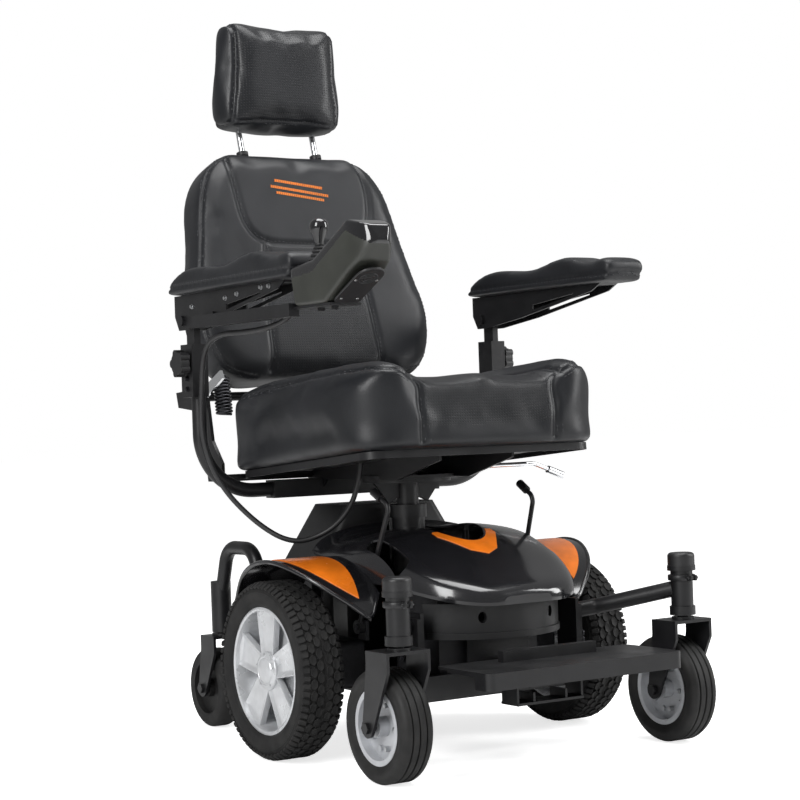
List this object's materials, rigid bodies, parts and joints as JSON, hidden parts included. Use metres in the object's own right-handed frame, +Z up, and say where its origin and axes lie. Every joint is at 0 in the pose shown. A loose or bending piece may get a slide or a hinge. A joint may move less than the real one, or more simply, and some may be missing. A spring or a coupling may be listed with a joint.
{
  "type": "power wheelchair",
  "caption": "Power wheelchair: drive base with casters, flip-up footplate, swivelling padded seat, reclining back, headrest, flip-up armrests, joystick.",
  "frame": {"origin": "on the floor, in the middle of the chair's length and width", "axes": "+Z up, the chair faces -Y, +X is the occupant's left"},
  "size_m": [0.706, 0.942, 1.288],
  "materials": {
    "powder_black": "satin black powder coat",
    "chrome": "polished chrome plate",
    "rubber_tyre": "matte black rubber",
    "rim_silver": "silver painted alloy",
    "caster_grey": "light grey paint",
    "shroud_black": "gloss black moulding",
    "accent_orange": "gloss orange panel",
    "cover_black": "fine-textured black moulding",
    "leatherette": "black leatherette, stitched",
    "battery_case": "plain moulded case",
    "gearbox_metal": "cast housing",
    "cable_rubber": "black cable jacket"
  },
  "bodies": {
    "base": {"base_frame": "powder_black", "batteries": "battery_case", "controller_box": "gearbox_metal", "main_shroud": "shroud_black", "shroud_accent": "accent_orange", "front_cover": "cover_black", "rear_cover": "cover_black", "fender_right": "shroud_black", "fender_left": "shroud_black", "fender_accents": "accent_orange", "motor_gearbox_right": "gearbox_metal", "motor_gearbox_left": "gearbox_metal", "front_arm_right": "powder_black", "front_arm_left": "powder_black", "rear_arm_right": "powder_black", "rear_arm_left": "powder_black", "arm_caps": "cover_black"},
    "footplate": {"footplate": "powder_black"},
    "post": {"seat_post": "powder_black"},
    "seat": {"seat_frame": "powder_black", "seat_cushion": "leatherette", "joystick_cable": "cable_rubber"},
    "swivel_lever": {"swivel_lever": "chrome"},
    "backrest": {"back_frame": "powder_black", "back_cushion": "leatherette", "headrest_guides": "cover_black"},
    "recline_lever": {"recline_lever": "chrome"},
    "headrest": {"headrest_posts": "chrome", "headrest_cushion": "leatherette"},
    "gimbal": {"joystick_gimbal": "cover_black"},
    "stick": {"joystick_knob": "cover_black"},
    "drive_wheel_right": {"drive_tyre_right": "rubber_tyre", "drive_rim_right": "rim_silver"},
    "freewheel_lever_right": {"freewheel_lever_right": "powder_black"},
    "front_fork_right": {"front_fork_right": "powder_black"},
    "front_caster_right": {"front_caster_tyre_right": "rubber_tyre", "front_caster_rim_right": "caster_grey"},
    "rear_fork_right": {"rear_fork_right": "powder_black"},
    "rear_caster_right": {"rear_caster_right": "rubber_tyre"},
    "arm_support_right": {"arm_support_right": "powder_black"},
    "clamp_knob_right": {"clamp_knob_right": "cover_black"},
    "armrest_post_right": {"armrest_post_right": "powder_black"},
    "armrest_right": {"armrest_bracket_right": "powder_black", "armrest_pad_right": "leatherette", "joystick_mount": "powder_black", "joystick_housing": "cover_black", "joystick_boot": "cable_rubber"},
    "drive_wheel_left": {"drive_tyre_left": "rubber_tyre", "drive_rim_left": "rim_silver"},
    "freewheel_lever_left": {"freewheel_lever_left": "powder_black"},
    "front_fork_left": {"front_fork_left": "powder_black"},
    "front_caster_left": {"front_caster_tyre_left": "rubber_tyre", "front_caster_rim_left": "caster_grey"},
    "rear_fork_left": {"rear_fork_left": "powder_black"},
    "rear_caster_left": {"rear_caster_left": "rubber_tyre"},
    "arm_support_left": {"arm_support_left": "powder_black"},
    "clamp_knob_left": {"clamp_knob_left": "cover_black"},
    "armrest_post_left": {"armrest_post_left": "powder_black"},
    "armrest_left": {"armrest_bracket_left": "powder_black", "armrest_pad_left": "leatherette"}
  },
  "joints": [
    {"name": "drive_spin_right", "type": "hinge", "parent": "base", "child": "drive_wheel_right", "pos_m": [-0.2855, -0.031, 0.144], "axis": [1, 0, 0], "continuous": true},
    {"name": "freewheel_right", "type": "hinge", "parent": "base", "child": "freewheel_lever_right", "pos_m": [-0.161, -0.075, 0.205], "axis": [1, 0, 0], "range_deg": [0, 22]},
    {"name": "front_swivel_right", "type": "hinge", "parent": "base", "child": "front_fork_right", "pos_m": [-0.275, -0.37, 0.2], "axis": [0, 0, 1], "continuous": true},
    {"name": "front_spin_right", "type": "hinge", "parent": "front_fork_right", "child": "front_caster_right", "pos_m": [-0.275, -0.335, 0.086], "axis": [1, 0, 0], "continuous": true},
    {"name": "rear_swivel_right", "type": "hinge", "parent": "base", "child": "rear_fork_right", "pos_m": [-0.2, 0.331, 0.166], "axis": [0, 0, 1], "continuous": true},
    {"name": "rear_spin_right", "type": "hinge", "parent": "rear_fork_right", "child": "rear_caster_right", "pos_m": [-0.2, 0.361, 0.07], "axis": [1, 0, 0], "continuous": true},
    {"name": "arm_width_right", "type": "slide", "parent": "seat", "child": "arm_support_right", "axis": [-1, 0, 0], "range_m": [0, 0.04], "deforming": ["joystick_cable"]},
    {"name": "arm_knob_right", "type": "hinge", "parent": "arm_support_right", "child": "clamp_knob_right", "pos_m": [-0.33, 0.187, 0.648], "axis": [1, 0, 0], "range_deg": [0, 360]},
    {"name": "arm_height_right", "type": "slide", "parent": "arm_support_right", "child": "armrest_post_right", "axis": [0, 0, 1], "range_m": [0, 0.06], "deforming": ["joystick_cable"]},
    {"name": "arm_flip_right", "type": "hinge", "parent": "armrest_post_right", "child": "armrest_right", "pos_m": [-0.311, 0.187, 0.72], "axis": [-1, 0, 0], "range_deg": [0, 95], "deforming": ["joystick_cable"]},
    {"name": "drive_spin_left", "type": "hinge", "parent": "base", "child": "drive_wheel_left", "pos_m": [0.2855, -0.031, 0.144], "axis": [1, 0, 0], "continuous": true},
    {"name": "freewheel_left", "type": "hinge", "parent": "base", "child": "freewheel_lever_left", "pos_m": [0.161, -0.075, 0.205], "axis": [1, 0, 0], "range_deg": [0, 22]},
    {"name": "front_swivel_left", "type": "hinge", "parent": "base", "child": "front_fork_left", "pos_m": [0.275, -0.37, 0.2], "axis": [0, 0, 1], "continuous": true},
    {"name": "front_spin_left", "type": "hinge", "parent": "front_fork_left", "child": "front_caster_left", "pos_m": [0.275, -0.335, 0.086], "axis": [1, 0, 0], "continuous": true},
    {"name": "rear_swivel_left", "type": "hinge", "parent": "base", "child": "rear_fork_left", "pos_m": [0.2, 0.331, 0.166], "axis": [0, 0, 1], "continuous": true},
    {"name": "rear_spin_left", "type": "hinge", "parent": "rear_fork_left", "child": "rear_caster_left", "pos_m": [0.2, 0.361, 0.07], "axis": [1, 0, 0], "continuous": true},
    {"name": "arm_width_left", "type": "slide", "parent": "seat", "child": "arm_support_left", "axis": [1, 0, 0], "range_m": [0, 0.04]},
    {"name": "arm_knob_left", "type": "hinge", "parent": "arm_support_left", "child": "clamp_knob_left", "pos_m": [0.33, 0.187, 0.648], "axis": [1, 0, 0], "range_deg": [0, 360]},
    {"name": "arm_height_left", "type": "slide", "parent": "arm_support_left", "child": "armrest_post_left", "axis": [0, 0, 1], "range_m": [0, 0.06]},
    {"name": "arm_flip_left", "type": "hinge", "parent": "armrest_post_left", "child": "armrest_left", "pos_m": [0.311, 0.187, 0.72], "axis": [-1, 0, 0], "range_deg": [0, 95]},
    {"name": "footplate_flip", "type": "hinge", "parent": "base", "child": "footplate", "pos_m": [0, -0.349, 0.168], "axis": [-1, 0, 0], "range_deg": [0, 90]},
    {"name": "seat_height", "type": "slide", "parent": "base", "child": "post", "axis": [0, 0, 1], "range_m": [0, 0.05]},
    {"name": "seat_swivel", "type": "hinge", "parent": "post", "child": "seat", "pos_m": [0, 0.015, 0.44], "axis": [0, 0, 1], "range_deg": [-90, 90], "deforming": ["joystick_cable"]},
    {"name": "swivel_release", "type": "hinge", "parent": "seat", "child": "swivel_lever", "pos_m": [0.092, -0.041, 0.456], "axis": [0, 0, -1], "range_deg": [0, 14]},
    {"name": "backrest_recline", "type": "hinge", "parent": "seat", "child": "backrest", "pos_m": [0, 0.269, 0.585], "axis": [-1, 0, 0], "range_deg": [-20, 35]},
    {"name": "recline_release", "type": "hinge", "parent": "backrest", "child": "recline_lever", "pos_m": [-0.2655, 0.269, 0.585], "axis": [-1, 0, 0], "range_deg": [0, 20]},
    {"name": "headrest_height", "type": "slide", "parent": "backrest", "child": "headrest", "axis": [0, 0.2672, 0.9636], "range_m": [0, 0.07]},
    {"name": "stick_fore_aft", "type": "hinge", "parent": "armrest_right", "child": "gimbal", "pos_m": [-0.318, -0.253, 0.767], "axis": [1, 0, 0], "range_deg": [-16, 16], "stiffness_Nm_per_rad": 1, "deforming": ["joystick_boot"]},
    {"name": "stick_left_right", "type": "hinge", "parent": "gimbal", "child": "stick", "pos_m": [-0.318, -0.253, 0.767], "axis": [0, 1, 0], "range_deg": [-16, 16], "stiffness_Nm_per_rad": 1, "deforming": ["joystick_boot"]}
  ]
}
